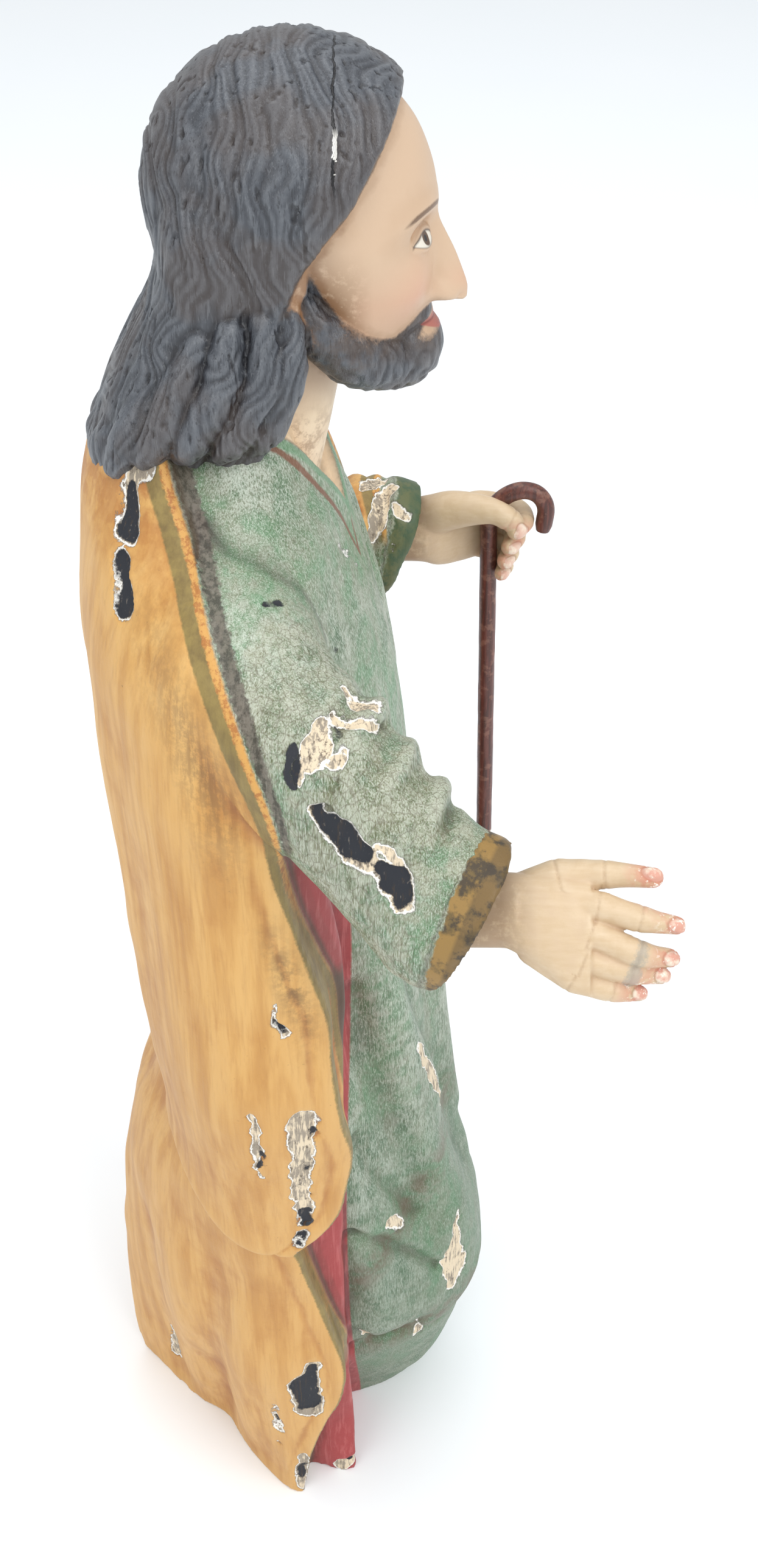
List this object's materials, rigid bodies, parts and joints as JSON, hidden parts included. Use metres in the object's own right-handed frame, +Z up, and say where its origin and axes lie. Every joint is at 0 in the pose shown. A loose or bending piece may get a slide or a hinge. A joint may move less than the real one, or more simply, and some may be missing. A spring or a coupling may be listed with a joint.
{
  "type": "carved wooden devotional statue",
  "caption": "Standing carved and painted wooden robed figure with long hair and beard, one open hand held out and a crook in the other fist, on a flat underside.",
  "frame": {"origin": "on the floor under the figure, on the flat underside, near the middle of its footprint", "axes": "+Z up, the figure faces -Y, its right hand is on the -X side and its left hand with the crook on the +X side"},
  "size_m": [0.1618, 0.1392, 0.4199],
  "materials": {
    "figure_paint": "old oil paint over gesso, worn, satin",
    "hand_paint": "flesh-coloured oil paint over gesso, worn, satin",
    "crook_paint": "dark red-brown paint on a wooden rod, satin"
  },
  "bodies": {
    "root": {"figure": "figure_paint", "right_hand": "hand_paint", "left_hand": "hand_paint", "crook": "crook_paint"}
  },
  "joints": []
}
